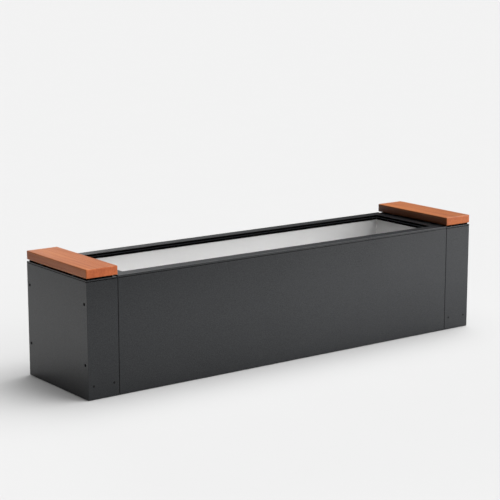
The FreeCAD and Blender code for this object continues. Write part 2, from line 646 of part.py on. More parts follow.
def panel_screw(x, y):
    """Countersunk, from below, flush with the panel's foot return."""
    z = SKIN_BOT
    s = cone((x, y, z + 0.05), (x, y, z + 1.5), 4.05, 2.6)
    s = s.fuse(cyl((x, y, z + 1.5), (x, y, z + 9.0), 2.4)).removeSplitter()
    return s.cut(hexagon((x, y, z - 0.5), (x, y, z + 1.3), 2.5))


add("panel_screws", group([panel_screw(x, sy * 168.0) for x in PANEL_SCREW_XS for sy in (-1, 1)]))
add("bearer_screws", group([pan_screw(x, sy * 166.0, RAIL_Z1 + 20.0, -1, 24.0, 2.9, 5.2, 2.8) for x in BEARER_XS for sy in (-1, 1)]))

# ---------------------------------------------------------------- write
for old in os.listdir("parts"):
    if old.endswith(".step"):
        os.remove(os.path.join("parts", old))
total = 0
for name, s in sorted(NODES.items()):
    bad = "" if s.isValid() else "  NOT VALID"
    bb = s.BoundBox
    print("%-24s %2d solids %9.1f cm3  X %7.1f %7.1f  Y %7.1f %7.1f  Z %6.1f %6.1f%s" % (
        name, len(s.Solids), s.Volume / 1000, bb.XMin, bb.XMax, bb.YMin, bb.YMax, bb.ZMin, bb.ZMax, bad))
    s.exportStep("parts/%s.step" % name)
    total += len(s.Solids)
print(len(NODES), "nodes,", total, "solids")
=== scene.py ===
import json
import math

import bmesh
import bpy
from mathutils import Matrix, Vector, noise


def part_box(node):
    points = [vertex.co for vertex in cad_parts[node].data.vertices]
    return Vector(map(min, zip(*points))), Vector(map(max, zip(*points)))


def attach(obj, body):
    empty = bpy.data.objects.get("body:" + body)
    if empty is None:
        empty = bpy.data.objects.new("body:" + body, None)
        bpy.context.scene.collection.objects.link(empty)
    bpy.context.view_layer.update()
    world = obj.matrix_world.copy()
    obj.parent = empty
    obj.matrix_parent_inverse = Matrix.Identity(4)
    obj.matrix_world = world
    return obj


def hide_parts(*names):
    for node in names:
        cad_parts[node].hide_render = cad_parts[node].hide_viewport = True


# Looks of the planter module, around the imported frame. Metres, +Z up, front = -Y.
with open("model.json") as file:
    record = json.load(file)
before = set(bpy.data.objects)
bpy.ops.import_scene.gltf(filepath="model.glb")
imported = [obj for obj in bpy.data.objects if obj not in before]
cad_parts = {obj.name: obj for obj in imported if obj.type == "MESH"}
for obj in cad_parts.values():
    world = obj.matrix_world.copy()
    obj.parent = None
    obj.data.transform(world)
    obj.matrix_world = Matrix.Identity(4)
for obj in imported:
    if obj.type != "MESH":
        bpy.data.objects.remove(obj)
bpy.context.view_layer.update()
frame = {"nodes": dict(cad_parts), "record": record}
NODE = frame["nodes"]
scene = bpy.context.scene

# ------------------------------------------------------------------ camera
cam_data = bpy.data.cameras.new("camera")
cam_data.sensor_width = 36.0
cam_data.lens = 113.28
cam = bpy.data.objects.new("camera", cam_data)
cam.location = (-3.4614, -4.5932, 1.5329)
cam.rotation_euler = (math.radians(90 - 11.335), 0.0, math.radians(-36.582))
scene.collection.objects.link(cam)
scene.camera = cam
cam_data.clip_end = 200.0

scene.view_settings.view_transform = "Standard"
scene.view_settings.look = "None"


# ------------------------------------------------------------------ node helpers
class Graph:
    """Small helper that builds a node tree."""

    def __init__(self, tree):
        self.t = tree
        self.n = tree.nodes
        self.n.clear()

    def add(self, kind, **props):
        node = self.n.new(kind)
        for k, v in props.items():
            setattr(node, k, v)
        return node

    def link(self, a, b):
        self.t.links.new(a, b)

    def put(self, socket, value):
        if isinstance(value, bpy.types.NodeSocket):
            self.link(value, socket)
        else:
            socket.default_value = value

    def math(self, op, a, b=0.0, c=None, clamp=False):
        node = self.add("ShaderNodeMath", operation=op, use_clamp=clamp)
        self.put(node.inputs[0], a)
        self.put(node.inputs[1], b)
        if c is not None:
            self.put(node.inputs[2], c)
        return node.outputs[0]

    def vmath(self, op, a, b=(0, 0, 0)):
        node = self.add("ShaderNodeVectorMath", operation=op)
        self.put(node.inputs[0], a)
        self.put(node.inputs[1], b)
        return node.outputs["Value"] if op in ("DOT_PRODUCT", "LENGTH", "DISTANCE") else node.outputs[0]

    def ramp(self, value, stops, mode="LINEAR"):
        node = self.add("ShaderNodeValToRGB")
        node.color_ramp.interpolation = mode
        e = node.color_ramp.elements
        while len(e) > 1:
            e.remove(e[-1])
        e[0].position, e[0].color = stops[0][0], (*stops[0][1], 1)
        for pos, col in stops[1:]:
            x = e.new(pos)
            x.color = (*col, 1)
        self.put(node.inputs[0], value)
        return node.outputs[0]

    def span(self, value, lo, hi, to_lo=0.0, to_hi=1.0, smooth=False):
        node = self.add("ShaderNodeMapRange", clamp=True)
        if smooth:
            node.interpolation_type = "SMOOTHSTEP"
        self.put(node.inputs["Value"], value)
        node.inputs["From Min"].default_value = lo
        node.inputs["From Max"].default_value = hi
        node.inputs["To Min"].default_value = to_lo
        node.inputs["To Max"].default_value = to_hi
        return node.outputs[0]

    def mapping(self, vector, scale=(1, 1, 1), location=(0, 0, 0), rotation=(0, 0, 0)):
        node = self.add("ShaderNodeMapping")
        self.put(node.inputs["Vector"], vector)
        node.inputs["Location"].default_value = location
        node.inputs["Rotation"].default_value = rotation
        node.inputs["Scale"].default_value = scale
        return node.outputs[0]

    def noise(self, vector, scale, detail=2.0, rough=0.5, distortion=0.0):
        node = self.add("ShaderNodeTexNoise")
        self.put(node.inputs["Vector"], vector)
        node.inputs["Scale"].default_value = scale
        node.inputs["Detail"].default_value = detail
        node.inputs["Roughness"].default_value = rough
        node.inputs["Distortion"].default_value = distortion
        return node.outputs["Fac"]

    def voronoi(self, vector, scale, feature="F1", out="Distance"):
        node = self.add("ShaderNodeTexVoronoi", feature=feature)
        self.put(node.inputs["Vector"], vector)
        node.inputs["Scale"].default_value = scale
        return node.outputs[out]

    def mix(self, fac, a, b, blend="MIX"):
        node = self.add("ShaderNodeMix", data_type="RGBA", blend_type=blend)
        self.put(node.inputs["Factor"], fac)
        for s, v in ((node.inputs[6], a), (node.inputs[7], b)):
            if isinstance(v, bpy.types.NodeSocket):
                self.link(v, s)
            else:
                s.default_value = (*v, 1)
        return node.outputs[2]

    def scale(self, colour, factor):
        node = self.add("ShaderNodeVectorMath", operation="SCALE")
        self.put(node.inputs[0], colour)
        self.put(node.inputs["Scale"], factor)
        return node.outputs[0]

    def bump(self, height, strength, distance, normal=None):
        node = self.add("ShaderNodeBump")
        node.inputs["Strength"].default_value = strength
        node.inputs["Distance"].default_value = distance
        self.put(node.inputs["Height"], height)
        if normal is not None:
            self.link(normal, node.inputs["Normal"])
        return node.outputs[0]


def material(name):
    m = bpy.data.materials.get(name)
    if m is None:
        m = bpy.data.materials.new(name)
    m.use_nodes = True
    g = Graph(m.node_tree)
    out = g.add("ShaderNodeOutputMaterial")
    bsdf = g.add("ShaderNodeBsdfPrincipled")
    g.link(bsdf.outputs[0], out.inputs["Surface"])
    pos = g.add("ShaderNodeTexCoord").outputs["Object"]
    return m, g, bsdf, pos


def split(g, vector):
    node = g.add("ShaderNodeSeparateXYZ")
    g.link(vector, node.inputs[0])
    return node.outputs


# ------------------------------------------------------------------ materials
def make_coated():
    """Dark grey powder coat with a fine texture."""
    m, g, b, pos = material("coat")
    x, y, z = split(g, pos)
    patch = g.noise(pos, 3.5, 3.0, 0.55)
    speck = g.noise(pos, 330.0, 2.0, 0.6)
    fine = g.noise(pos, 900.0, 2.0, 0.6)
    tone = g.math("ADD", g.span(patch, 0.3, 0.7, -0.05, 0.05), g.span(speck, 0.28, 0.72, -0.60, 0.60))
    tone = g.math("ADD", tone, g.span(fine, 0.3, 0.7, -0.15, 0.15))
    # a little dust low down on the upright faces
    dust = g.math("MULTIPLY", g.span(z, 0.0, 0.12, 1.0, 0.0, smooth=True), g.span(g.noise(pos, 30.0, 4.0, 0.6), 0.45, 0.7))
    base = g.mix(g.math("ADD", tone, 0.5), (0.0048, 0.0059, 0.0076), (0.0150, 0.0169, 0.0196))
    base = g.mix(g.math("MULTIPLY", dust, 0.03), base, (0.12, 0.11, 0.10))
    # a painted highlight along the top outer edges, broken into patches like wear: the coat is lighter there
    edge = g.math("MULTIPLY", g.span(z, 0.4148, 0.4158), g.span(g.math("ABSOLUTE", y), 0.1998, 0.2018))
    wear_and_edge_highlight = g.math("MULTIPLY", edge, g.span(g.noise(pos, 60.0, 4.0, 0.65), 0.5, 0.68))
    base = g.mix(g.math("MULTIPLY", wear_and_edge_highlight, 0.15), base, (0.06, 0.06, 0.06))
    # painted light and shade: the coat's colour and gloss are darker near the lower and upper edges and towards the
    # left end, and on the rim's top lighter along the front and darker along the rear, standing in for how the light
    # falls
    painted_height_shade = g.ramp(g.math("DIVIDE", z, 0.45), [(0.0, (0.92,) * 3), (0.06, (0.93,) * 3), (0.16, (0.96,) * 3), (0.29, (1.02,) * 3),
                                              (0.47, (1.09,) * 3), (0.64, (1.07,) * 3), (0.80, (0.98,) * 3), (0.88, (0.92,) * 3), (0.92, (0.88,) * 3)])
    side = g.math("MULTIPLY", g.span(x, -0.85, 0.10, 0.85, 1.0), painted_height_shade)
    top = g.span(y, -0.20, 0.20, 1.16, 0.74)
    up = g.span(split(g, g.add("ShaderNodeNewGeometry").outputs["Normal"])[2], 0.80, 0.95)
    shade = g.math("ADD", side, g.math("MULTIPLY", up, g.math("SUBTRACT", top, side)))
    # painted light and shade: this scales the coat's base colour here and its specular level below
    g.link(g.scale(base, shade), b.inputs["Base Color"])
    rough = g.math("ADD", g.span(patch, 0.3, 0.7, 0.295, 0.325), g.span(speck, 0.3, 0.7, -0.03, 0.03))
    g.link(rough, b.inputs["Roughness"])
    grit = g.noise(g.mapping(pos, (1.0, 1.0, 1.0), (3.1, 1.7, 0.4)), 330.0, 1.0, 0.5)
    g.link(g.math("MULTIPLY", shade, g.span(grit, 0.3, 0.7, 0.40, 0.60)), b.inputs["Specular IOR Level"])
    n = g.bump(g.noise(pos, 1100.0, 2.0, 0.6), 0.35, 0.0002)
    n = g.bump(g.noise(pos, 14.0, 2.0, 0.5), 0.10, 0.002, n)
    g.link(n, b.inputs["Normal"])
    return m


def make_liner():
    """Galvanised sheet, light grey and matt, with a faint spangle."""
    m, g, b, pos = material("liner_sheet")
    cells = g.voronoi(pos, 95.0, out="Color")
    cell = split(g, cells)[0]
    patch = g.noise(pos, 5.0, 3.0, 0.55)
    fine = g.noise(g.mapping(pos, (1.0, 1.0, 6.0)), 240.0, 2.0, 0.6)
    tone = g.math("ADD", g.span(cell, 0.0, 1.0, -0.12, 0.12), g.span(patch, 0.3, 0.7, -0.16, 0.16))
    tone = g.math("ADD", tone, g.span(fine, 0.3, 0.7, -0.08, 0.08))
    base = g.mix(g.math("ADD", tone, 0.5, clamp=True), (0.690, 0.690, 0.688), (0.745, 0.745, 0.745))
    # painted shade: darker close under the trim frame and lighter lower down
    high = split(g, pos)[2]
    base = g.scale(base, g.span(high, 0.335, 0.390, 1.10, 0.880))
    # and stained by damp soil near the floor
    damp = g.math("MULTIPLY", g.span(high, 0.06, 0.16, 1.0, 0.0, smooth=True), g.span(g.noise(pos, 16.0, 4.0, 0.6), 0.30, 0.70, 0.55, 1.0))
    base = g.mix(g.math("MULTIPLY", damp, 0.55), base, (0.40, 0.375, 0.345))
    g.link(base, b.inputs["Base Color"])
    b.inputs["Metallic"].default_value = 0.12
    g.link(g.math("ADD", g.span(cell, 0.0, 1.0, 0.50, 0.60), g.span(patch, 0.3, 0.7, -0.04, 0.04)), b.inputs["Roughness"])
    n = g.bump(cell, 0.03, 0.0002)
    n = g.bump(g.noise(pos, 9.0, 2.0, 0.5), 0.06, 0.002, n)
    g.link(n, b.inputs["Normal"])
    return m


def make_galvanised(name="galvanised", light=(0.40, 0.41, 0.42), dark=(0.26, 0.27, 0.28), metallic=0.75):
    m, g, b, pos = material(name)
    cell = split(g, g.voronoi(pos, 130.0, out="Color"))[0]
    patch = g.noise(pos, 11.0, 4.0, 0.6)
    tone = g.math("ADD", g.span(cell, 0.0, 1.0, -0.2, 0.2), g.span(patch, 0.3, 0.7, 0.2, 0.8), clamp=True)
    g.link(g.mix(tone, dark, light), b.inputs["Base Color"])
    b.inputs["Metallic"].default_value = metallic
    g.link(g.span(tone, 0.0, 1.0, 0.52, 0.38), b.inputs["Roughness"])
    n = g.bump(cell, 0.08, 0.0003)
    n = g.bump(g.noise(pos, 420.0, 2.0, 0.6), 0.15, 0.0002, n)
    g.link(n, b.inputs["Normal"])
    return m


def make_wood(name, centre, turn, face, ends, along, across, edges):
    """Oiled orange-brown hardwood. Growth rings run round an axis along the board, so the faces show long grain and the
    ends show arcs. face and ends tint the long faces and the sawn ends, partly the wood's own hue and partly painted
    light and shade set apart for each board; along and across give a painted light gradient of the tone over the board,
    and edges a painted shade on the long edges."""
    m, g, b, pos = material(name)
    x, y, z = split(g, pos)
    bend = g.noise(g.mapping(pos, (6.0, 0.7, 6.0), (turn, 0, 0)), 1.0, 3.0, 0.5)
    cx = g.math("SUBTRACT", x, centre[0])
    cz = g.math("SUBTRACT", z, centre[1])
    r = g.math("SQRT", g.math("ADD", g.math("MULTIPLY", cx, cx), g.math("MULTIPLY", cz, cz)))
    r = g.math("ADD", r, g.span(bend, 0.0, 1.0, -0.012, 0.012))
    wobble = g.noise(g.mapping(pos, (60.0, 2.5, 60.0)), 1.0, 2.0, 0.5)
    r = g.math("ADD", r, g.span(wobble, 0.0, 1.0, -0.0012, 0.0012))
    ring = g.math("FRACT", g.math("MULTIPLY", r, 240.0))
    late = g.math("POWER", ring, 2.2)
    # fibres and pores, drawn out along the board
    fibre = g.noise(g.mapping(pos, (1.0, 0.035, 1.0)), 900.0, 3.0, 0.6)
    streak = g.noise(g.mapping(pos, (1.0, 0.02, 1.0)), 160.0, 3.0, 0.6)
    broad = g.noise(g.mapping(pos, (1.0, 0.12, 1.0)), 22.0, 2.0, 0.5)
    tone = g.math("ADD", g.math("MULTIPLY", late, 0.22), g.span(streak, 0.25, 0.75, -0.16, 0.22))
    tone = g.math("ADD", tone, g.span(fibre, 0.3, 0.7, -0.10, 0.12))
    tone = g.math("ADD", tone, g.span(broad, 0.25, 0.75, -0.24, 0.30))
    base = g.ramp(g.math("ADD", tone, 0.35, clamp=True), [
        (0.0, (0.470, 0.136, 0.036)), (0.40, (0.395, 0.101, 0.0245)), (0.75, (0.305, 0.069, 0.0165)), (1.0, (0.205, 0.042, 0.0110))])
    pore = g.span(g.noise(g.mapping(pos, (1.0, 0.03, 1.0), (turn, 0.3, 0.1)), 1500.0, 1.0, 0.5), 0.66, 0.74)
    base = g.mix(g.math("MULTIPLY", pore, 0.40), base, (0.085, 0.020, 0.008))
    # ends drink more oil and are a little deeper
    normal = split(g, g.add("ShaderNodeNewGeometry").outputs["Normal"])
    end = g.span(g.math("ABSOLUTE", normal[1]), 0.75, 0.95)
    base = g.mix(g.math("MULTIPLY", end, 0.12), base, (0.26, 0.050, 0.012))
    tint = g.mix(end, face, ends)
    base = g.mix(1.0, base, tint, "MULTIPLY")
    # painted light and shade: the tone changes along and across the board, the long edges take their painted shade, and
    # the ends keep their own tone
    painted_light_drift = g.math("MULTIPLY", g.span(y, -0.17, 0.17, *along), g.span(x, centre[2], centre[3], *across))
    long_edge = g.span(g.math("ABSOLUTE", normal[0]), 0.75, 0.95)
    painted_light_drift = g.math("ADD", painted_light_drift, g.math("MULTIPLY", long_edge, g.math("SUBTRACT", edges, painted_light_drift)))
    painted_light_drift = g.math("ADD", painted_light_drift, g.math("MULTIPLY", end, g.math("SUBTRACT", 1.0, painted_light_drift)))
    base = g.scale(base, painted_light_drift)
    g.link(base, b.inputs["Base Color"])
    g.link(g.math("ADD", g.span(streak, 0.3, 0.7, 0.44, 0.54), g.math("MULTIPLY", end, 0.1)), b.inputs["Roughness"])
    g.link(g.math("MULTIPLY", g.span(streak, 0.3, 0.7, 0.44, 0.40), g.span(end, 0.0, 1.0, 1.0, 0.71)), b.inputs["Specular IOR Level"])
    height = g.math("SUBTRACT", g.math("MULTIPLY", fibre, 0.5), g.math("MULTIPLY", pore, 0.6))
    height = g.math("SUBTRACT", height, g.math("MULTIPLY", late, 0.25))
    n = g.bump(height, 0.30, 0.0004)
    g.link(n, b.inputs["Normal"])
    return m


def make_rubber(name="rubber", base=(0.016, 0.016, 0.017), rough=0.75):
    m, g, b, pos = material(name)
    grain = g.noise(pos, 500.0, 3.0, 0.65)
    patch = g.noise(pos, 20.0, 3.0, 0.6)
    tone = g.math("ADD", g.span(grain, 0.3, 0.7, 0.0, 0.5), g.span(patch, 0.3, 0.7, 0.0, 0.5))
    g.link(g.mix(tone, base, tuple(c * 2.2 for c in base)), b.inputs["Base Color"])
    g.link(g.span(tone, 0.0, 1.0, rough, rough - 0.14), b.inputs["Roughness"])
    g.link(g.bump(grain, 0.25, 0.0003), b.inputs["Normal"])
    return m


def make_zinc(name="zinc", tint=(0.62, 0.62, 0.60), rough=0.33, metallic=0.95):
    m, g, b, pos = material(name)
    patch = g.noise(pos, 90.0, 3.0, 0.6)
    fine = g.noise(pos, 700.0, 2.0, 0.6)
    g.link(g.mix(g.span(patch, 0.3, 0.7), tuple(c * 0.72 for c in tint), tint), b.inputs["Base Color"])
    b.inputs["Metallic"].default_value = metallic
    g.link(g.math("ADD", g.span(patch, 0.3, 0.7, rough + 0.07, rough - 0.05), g.span(fine, 0.3, 0.7, -0.03, 0.03)), b.inputs["Roughness"])
    g.link(g.bump(fine, 0.12, 0.0001), b.inputs["Normal"])
    return m


COAT = make_coated()
LINER = make_liner()
GALV = make_galvanised()
# two copies of one wood, set apart by painted light and shade: the right board's long edges are painted much darker as
# shade
WOOD_L = make_wood("wood_left", (-0.86, 0.30, -0.875, -0.753), 0.0, (1.0, 1.10, 0.88), (1.31, 1.24, 1.30),
                   (1.09, 0.945), (1.02, 1.02), 0.95)
WOOD_R = make_wood("wood_right", (0.79, 0.33, 0.753, 0.875), 5.0, (0.885, 1.03, 0.93), (0.935, 0.86, 0.38),
                   (0.98, 1.09), (1.13, 0.91), 0.50)
RUBBER = make_rubber()
PLASTIC = make_rubber("plastic", (0.018, 0.018, 0.019), 0.55)
ZINC = make_zinc()
STAINLESS = make_zinc("stainless", (0.60, 0.60, 0.60), 0.28)
DARK_SCREW = make_rubber("dark_screw", (0.0022, 0.0022, 0.0024), 0.62)
DARK_SCREW.node_tree.nodes["Principled BSDF"].inputs["Specular IOR Level"].default_value = 0.12
# near-black strips that paint the shadow in the folds and gaps
SHADOW_STRIP_BLACK = make_rubber("painted_shadow_strip", (0.0006, 0.0006, 0.0007), 0.80)
SHADOW_STRIP_BLACK.node_tree.nodes["Principled BSDF"].inputs["Specular IOR Level"].default_value = 0.015
# the welds' pale colour is partly their own zinc and partly a painted highlight, a light line along the liner's corners
WELD_AND_HIGHLIGHT = make_zinc("weld_pale_highlight", (0.95, 0.95, 0.94), 0.45, 0.2)

BY_SLOT = {"coated_steel": COAT, "galvanised_steel": GALV, "liner_zinc": LINER, "seat_wood": WOOD_L, "rubber_black": RUBBER,
           "foot_plastic": PLASTIC, "zinc_plated": ZINC, "stainless": STAINLESS, "dark_screw": DARK_SCREW}
for part in frame["record"]["subparts"]:
    obj = NODE[part["node"]]
    mat = BY_SLOT[part["material_slot"]]
    if part["node"] == "seat_board_right":
        mat = WOOD_R
    for s in obj.material_slots:
        s.material = mat

# ------------------------------------------------------------------ seat boards
def new_piece(name, bm, mat, body, smooth_angle=35.0):
    mesh = bpy.data.meshes.new(name)
    bm.normal_update()
    bm.to_mesh(mesh)
    bm.free()
    obj = bpy.data.objects.new(name, mesh)
    scene.collection.objects.link(obj)
    mesh.materials.append(mat)
    mesh.shade_smooth()
    mesh.set_sharp_from_angle(angle=math.radians(smooth_angle))
    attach(obj, body)
    return obj


def axis_stops(half, r, count):
    """Lattice stops along one axis of a box with eased edges: fine over the rounding, even between."""
    arc = [half - r + r * math.tan(math.radians(a)) for a in (0, 9, 18, 27, 36, 45)]
    inner = [-(half - r) + 2 * (half - r) * k / count for k in range(1, count)]
    return [-v for v in reversed(arc)] + inner + arc


def make_board(side, mat):
    """A solid board with hand-eased edges: the long edges and the sawn ends are rounded a little
    unevenly, and the wood's grain stands up as fine ridges along the board."""
    node = "seat_board_" + side
    low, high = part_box(node)
    low, high = Vector(low), Vector(high)
    centre = (low + high) / 2
    half = (high - low) / 2
    r = 0.0022
    xs = axis_stops(half.x, r, 76)
    ys = axis_stops(half.y, r, 90)
    zs = axis_stops(half.z, r, 12)
    bm = bmesh.new()
    seen = {}
    shift = 3.7 if side == "left" else 11.3

    def vertex(i, j, k):
        key = (i, j, k)
        if key in seen:
            return seen[key]
        p = Vector((xs[i], ys[j], zs[k]))
        # the ease is a touch wider here and there along the edges
        rr = r * (0.86 + 0.14 * noise.noise(Vector((shift, p.y * 14.0, p.x * 6.0 + p.z * 60.0))))
        q = Vector([max(-(h - r), min(h - r, c)) for c, h in zip(p, half)])
        d = p - q
        n = d.normalized() if d.length > 1e-9 else Vector((0, 0, 1))
        if d.length > 1e-9:
            p = q + n * r
            corner = sum(1 for c in n if abs(c) > 0.15)
            if corner > 1:
                p = p - n * (r - rr) * 0.35
        along = Vector((p.x, p.y, p.z))
        # grain ridges run with the board; the ends show them as dots
        ridge = noise.noise(Vector((along.x * 620 + shift, along.y * 9.0, along.z * 620)))
        ridge += 0.6 * noise.noise(Vector((along.x * 240, along.y * 4.0 + shift, along.z * 240)))
        sway = noise.noise(Vector((along.x * 9.0, along.y * 5.0, shift)))
        depth = 0.00003 + 0.00003 * max(-1.0, min(1.0, ridge)) + 0.00006 * (0.5 + 0.5 * sway)
        if abs(n.y) > 0.8:
            depth *= 1.6
        p = p - n * depth
        seen[key] = bm.verts.new(centre + p)
        return seen[key]

    nx, ny, nz = len(xs) - 1, len(ys) - 1, len(zs) - 1
    for i in range(nx):
        for j in range(ny):
            bm.faces.new([vertex(i, j, 0), vertex(i, j + 1, 0), vertex(i + 1, j + 1, 0), vertex(i + 1, j, 0)])
            bm.faces.new([vertex(i, j, nz), vertex(i + 1, j, nz), vertex(i + 1, j + 1, nz), vertex(i, j + 1, nz)])
    for i in range(nx):
        for k in range(nz):
            bm.faces.new([vertex(i, 0, k), vertex(i + 1, 0, k), vertex(i + 1, 0, k + 1), vertex(i, 0, k + 1)])
            bm.faces.new([vertex(i, ny, k), vertex(i, ny, k + 1), vertex(i + 1, ny, k + 1), vertex(i + 1, ny, k)])
    for j in range(ny):
        for k in range(nz):
            bm.faces.new([vertex(0, j, k), vertex(0, j, k + 1), vertex(0, j + 1, k + 1), vertex(0, j + 1, k)])
            bm.faces.new([vertex(nx, j, k), vertex(nx, j + 1, k), vertex(nx, j + 1, k + 1), vertex(nx, j, k + 1)])
    obj = new_piece("board_" + side, bm, mat, "box_and_seats", 60.0)
    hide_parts(node)
    return obj


make_board("left", WOOD_L)
make_board("right", WOOD_R)


# ------------------------------------------------------------------ weld beads
def bead(bm, a, b, na, nb, leg, step, seed):
    """A fillet weld from a to b in the corner between two faces; na and nb point along the faces,
    away from the corner. Its surface has the ripples of the runs."""
    a, b, na, nb = Vector(a), Vector(b), Vector(na), Vector(nb)
    length = (b - a).length
    count = max(4, int(length / step))
    rings = []
    for s in range(count + 1):
        t = s / count
        p = a.lerp(b, t)
        wave = math.sin(2 * math.pi * t * length / (step * 3.2))
        size = leg * (1.0 + 0.05 * wave + 0.10 * noise.noise(Vector((seed, t * length * 25.0, 0.0))))
        taper = min(1.0, 0.35 + min(t, 1 - t) * length / (leg * 2.5))
        size *= taper
        ring = [bm.verts.new(p)]
        for k in range(6):
            u = k / 5
            belly = 1.0 - 0.16 * math.sin(math.pi * u)
            c, d = math.cos(u * math.pi / 2), math.sin(u * math.pi / 2)
            flat_a, flat_b = (1 - u), u
            ring.append(bm.verts.new(p + na * size * belly * (0.55 * c + 0.45 * flat_a) + nb * size * belly * (0.55 * d + 0.45 * flat_b)))
        rings.append(ring)
    made = []
    for r0, r1 in zip(rings, rings[1:]):
        for k in range(7):
            made.append(bm.faces.new([r0[k], r0[(k + 1) % 7], r1[(k + 1) % 7], r1[k]]))
    made.append(bm.faces.new(list(reversed(rings[0]))))
    made.append(bm.faces.new(rings[-1]))
    return made


def weld_piece(name, runs, leg, step, mat, body):
    bm = bmesh.new()
    for n, (a, b, na, nb) in enumerate(runs):
        bead(bm, a, b, na, nb, leg, step, n * 3.1)
    bmesh.ops.recalc_face_normals(bm, faces=bm.faces)
    return new_piece(name, bm, mat, body, 50.0)


LIN_X, LIN_Y, LIN_Z = 0.6986, 0.1491, 0.0725
runs = []
for sx in (-1, 1):
    for sy in (-1, 1):
        runs.append(((sx * LIN_X, sy * LIN_Y, LIN_Z + 0.001), (sx * LIN_X, sy * LIN_Y, 0.4035), (-sx, 0, 0), (0, -sy, 0)))
weld_piece("liner_corner_welds", runs, 0.0034, 0.0016, WELD_AND_HIGHLIGHT, "liner_unit")
runs = []
for sy in (-1, 1):
    runs.append(((-LIN_X + 0.003, sy * LIN_Y, LIN_Z), (LIN_X - 0.003, sy * LIN_Y, LIN_Z), (0, -sy, 0), (0, 0, 1)))
for sx in (-1, 1):
    runs.append(((sx * LIN_X, -LIN_Y + 0.003, LIN_Z), (sx * LIN_X, LIN_Y - 0.003, LIN_Z), (-sx, 0, 0), (0, 0, 1)))
weld_piece("liner_floor_welds", runs, 0.0028, 0.0022, WELD_AND_HIGHLIGHT, "liner_unit")
runs = []
for sx in (-1, 1):
    for y in (-0.095, 0.095):
        for d in (-1, 1):
            runs.append(((sx * LIN_X, y + d * 0.002, 0.242), (sx * LIN_X, y + d * 0.002, 0.298), (-sx, 0, 0), (0, d, 0)))
weld_piece("lug_welds", runs, 0.0024, 0.0016, WELD_AND_HIGHLIGHT, "liner_unit")


# ------------------------------------------------------------------ painted shadow strips
def shadow_strip_ring(name, half_x, half_y, z0, z1, t, body, seed):
    """A thin black strip round the inside of a folded edge, with a rounded top and foot, painting the shadow in the
    fold. Its face wanders by a few hundredths of a millimetre, as a soft extrusion does."""
    section = [(0.0, z0), (0.55 * t, z0), (t, z0 + 0.6 * t), (t, z1 - 0.6 * t), (0.55 * t, z1), (0.0, z1)]
    corners = [(-half_x, -half_y), (half_x, -half_y), (half_x, half_y), (-half_x, half_y)]
    bm = bmesh.new()
    rings = []
    for c in range(4):
        (ax, ay), (bx, by) = corners[c], corners[(c + 1) % 4]
        steps = max(6, int(math.hypot(bx - ax, by - ay) / 0.02))
        for s in range(steps):
            u = s / steps
            ring = []
            for d, z in section:
                wave = 0.00004 * noise.noise(Vector((seed + c * 7.0 + u * 40.0, z * 300.0, d * 900.0))) if 0 < s and d > 0 else 0.0
                x, y = ax + (bx - ax) * u, ay + (by - ay) * u
                # inset towards the middle, both ways at the mitres
                ix = -math.copysign(d + wave, ax) if (s == 0 or c in (1, 3)) else 0.0
                iy = -math.copysign(d + wave, ay) if (s == 0 or c in (0, 2)) else 0.0
                # run the strip between the two mitres
                if c in (0, 2):
                    lo, hi = -half_x + d, half_x - d
                    x = max(lo, min(hi, x)) if s else x + ix
                    y = y + iy
                else:
                    lo, hi = -half_y + d, half_y - d
                    y = max(lo, min(hi, y)) if s else y + iy
                    x = x + ix
                ring.append(bm.verts.new((x, y, z)))
            rings.append(ring)
    for r0, r1 in zip(rings, rings[1:] + rings[:1]):
        for k in range(len(section)):
            bm.faces.new([r0[k], r0[(k + 1) % len(section)], r1[(k + 1) % len(section)], r1[k]])
    bmesh.ops.recalc_face_normals(bm, faces=bm.faces)
    return new_piece(name, bm, SHADOW_STRIP_BLACK, body, 40.0)


# painted shadow: black strips in the folds inside the rim and the trim frame
shadow_strip_ring("rim_shadow_strip", 0.7070, 0.1575, 0.4064, 0.41605, 0.0005, "box_and_seats", 2.0)
shadow_strip_ring("trim_shadow_strip", 0.6965, 0.1470, 0.4002, 0.4087, 0.0005, "liner_unit", 9.0)


def joint_shadow_strip(name, paths, z0, z1, t, body, seed):
    """Soft black strips in the joints under the rim's lip, under the leg caps and under the boards, painting the shadow
    in those gaps. Each path is the strip's outer face; the inside is on its left."""
    bm = bmesh.new()
    for n, path in enumerate(paths):
        pts = [Vector(p) for p in path]
        normals = []
        for a, b in zip(pts, pts[1:]):
            d = (b - a).normalized()
            normals.append(Vector((-d.y, d.x)))
        rings = []
        for i, (a, b) in enumerate(zip(pts, pts[1:])):
            steps = max(4, int((b - a).length / 0.015))
            for s in range(steps + (1 if i == len(pts) - 2 else 0)):
                p = a.lerp(b, s / steps)
                inward = normals[i]
                if s == 0 and i > 0:
                    inward = normals[i] + normals[i - 1]
                h = z1 - z0
                ring = []
                for u, v in ((1.0, 0.0), (0.22, 0.0), (0.0, 0.18), (0.0, 0.82), (0.22, 1.0), (1.0, 1.0)):
                    wave = 0.00005 * noise.noise(Vector((seed + n * 5.0 + i * 3.0 + s * 0.7, v * 3.0, u * 2.0)))
                    q = p + inward * (t * u + (wave if u < 0.5 else 0.0))
                    ring.append(bm.verts.new((q.x, q.y, z0 + v * h)))
                rings.append(ring)
        for r0, r1 in zip(rings, rings[1:]):
            for k in range(6):
                bm.faces.new([r0[k], r0[(k + 1) % 6], r1[(k + 1) % 6], r1[k]])
        bm.faces.new(list(reversed(rings[0])))
        bm.faces.new(rings[-1])
    bmesh.ops.recalc_face_normals(bm, faces=bm.faces)
    return new_piece(name, bm, SHADOW_STRIP_BLACK, body, 40.0)


def round_leg(sx, inner, outer, half_y):
    """Path round a leg, from the planter side along the front or rear and the link face."""
    return [(sx * inner, -sx * half_y), (sx * outer, -sx * half_y), (sx * outer, sx * half_y), (sx * inner, sx * half_y)]


